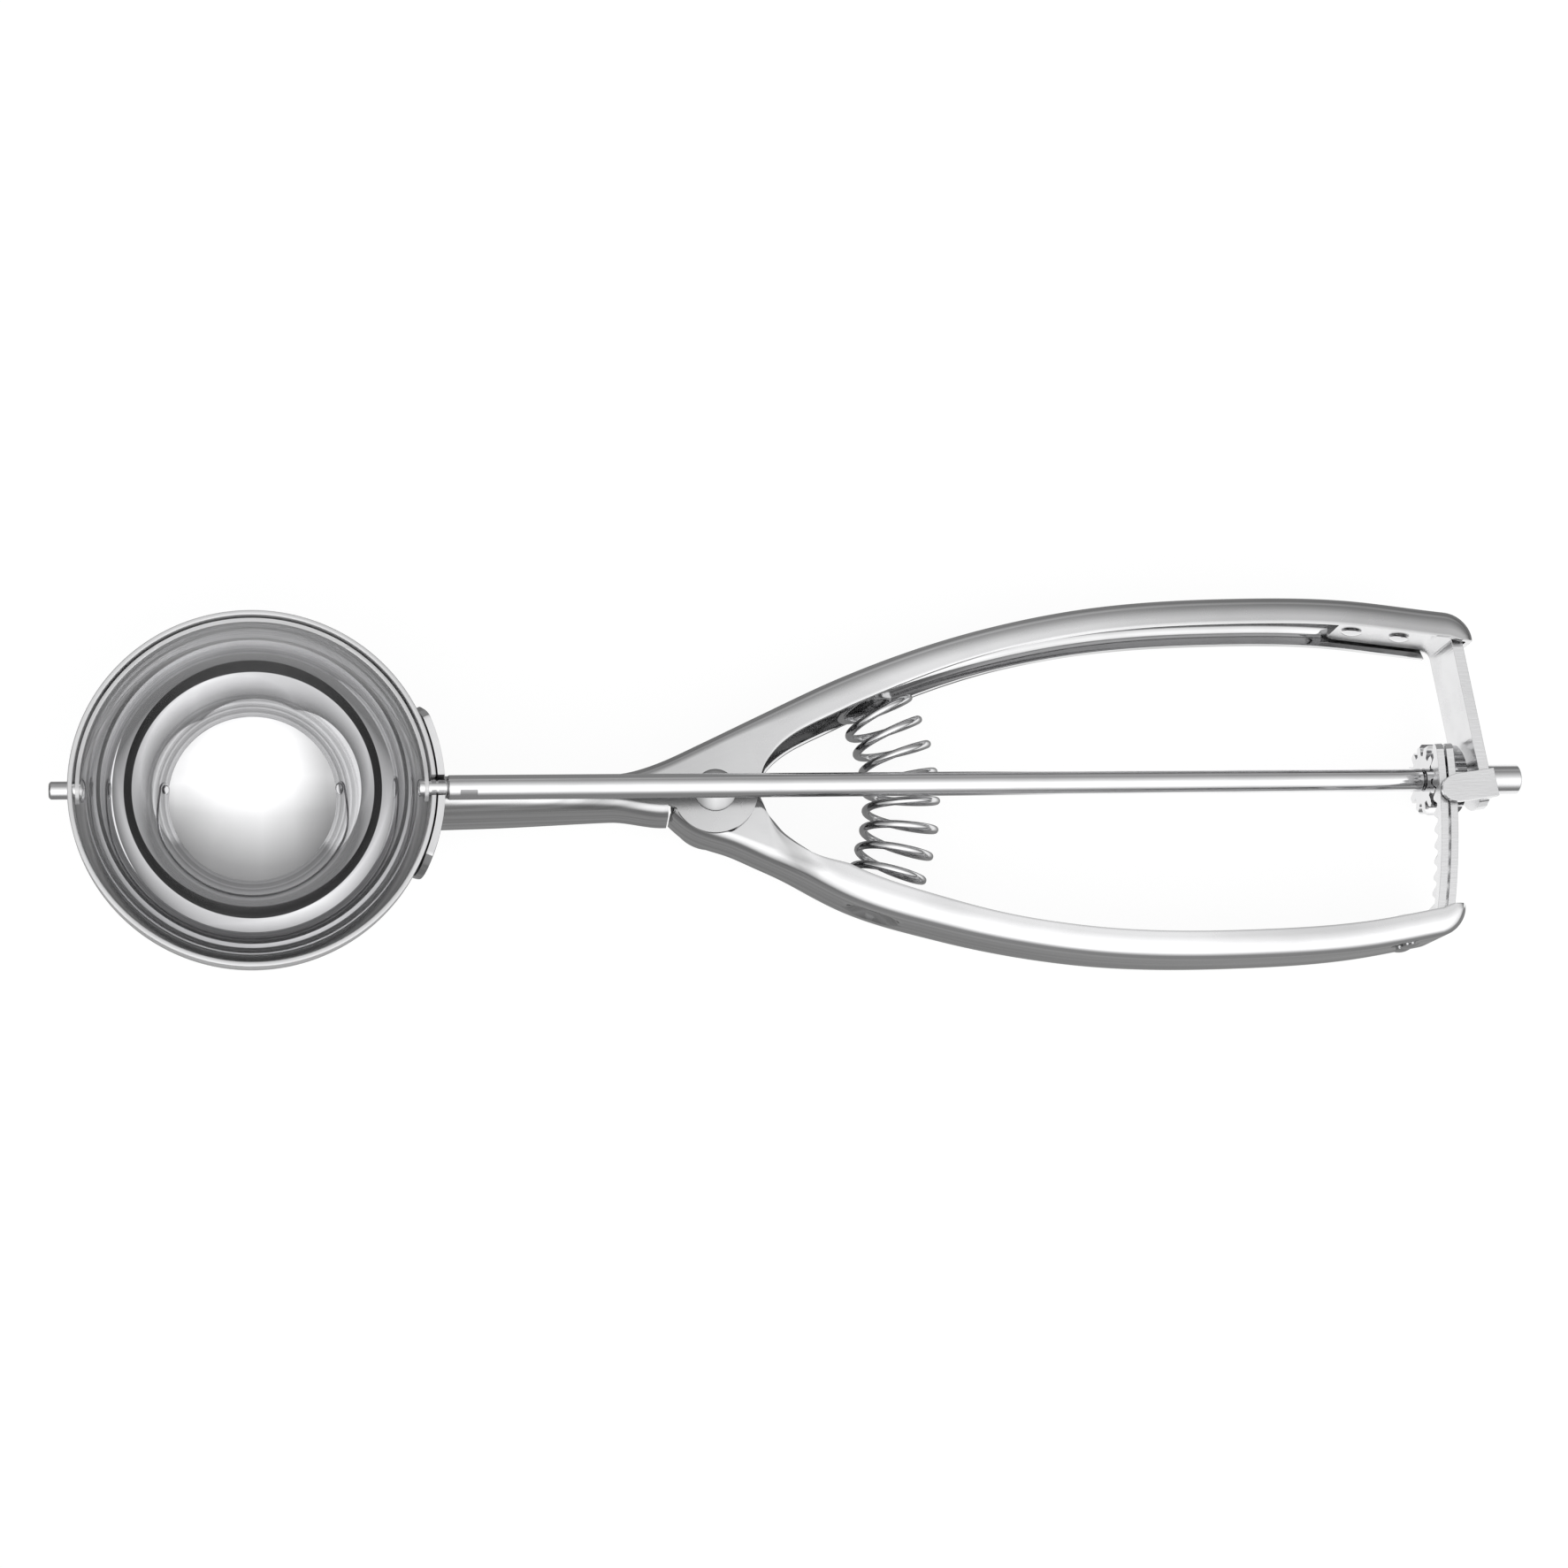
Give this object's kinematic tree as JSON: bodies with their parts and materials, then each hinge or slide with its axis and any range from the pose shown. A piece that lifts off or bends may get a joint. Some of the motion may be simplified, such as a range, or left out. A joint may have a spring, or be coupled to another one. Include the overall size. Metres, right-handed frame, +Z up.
{
  "type": "ice cream scoop",
  "caption": "Steel ice cream scoop with a round bowl, a swept scraper blade and two squeeze levers that turn it through a rack and pinion.",
  "frame": {"origin": "centre of the bounding box's bottom, on the surface the scoop lies on", "axes": "+X from the bowl to the handles' rear end, +Y towards the fixed lever, +Z up, the way the bowl opens"},
  "size_m": [0.2392, 0.06, 0.036],
  "materials": {
    "polished_steel": "mirror polished stainless steel",
    "turned_steel": "turned and polished stainless steel",
    "stamped_steel": "satin stamped stainless steel",
    "spring_steel": "drawn spring wire"
  },
  "bodies": {
    "frame": {"bowl": "polished_steel", "fixed_lever": "polished_steel", "pivot_rivet": "polished_steel", "bearing_bracket": "stamped_steel", "bracket_rivet_front": "turned_steel", "bracket_rivet_rear": "turned_steel", "return_spring": "spring_steel"},
    "squeeze_lever": {"moving_lever": "polished_steel", "rack_inner": "stamped_steel", "rack_outer": "stamped_steel", "rack_rivet_upper": "turned_steel", "rack_rivet_lower": "turned_steel"},
    "blade_shaft": {"drive_shaft": "polished_steel", "scraper_blade": "polished_steel", "front_pin": "polished_steel", "pinion": "turned_steel"}
  },
  "joints": [
    {"name": "lever_squeeze", "type": "hinge", "parent": "frame", "child": "squeeze_lever", "pos_m": [-0.01668, 0, 0.0099], "axis": [0, 0, 1], "range_deg": [0, 7], "stiffness_Nm_per_rad": 3, "springref_deg": -3.44, "deforming": ["return_spring"]},
    {"name": "shaft_spin", "type": "hinge", "parent": "frame", "child": "blade_shaft", "pos_m": [-0.08888, 0, 0.03041], "axis": [0.9936, 0, -0.1132], "range_deg": [-164.5, 0]}
  ],
  "couplings": [
    {"joint": "shaft_spin", "follows": "lever_squeeze", "ratio": -23.43}
  ]
}
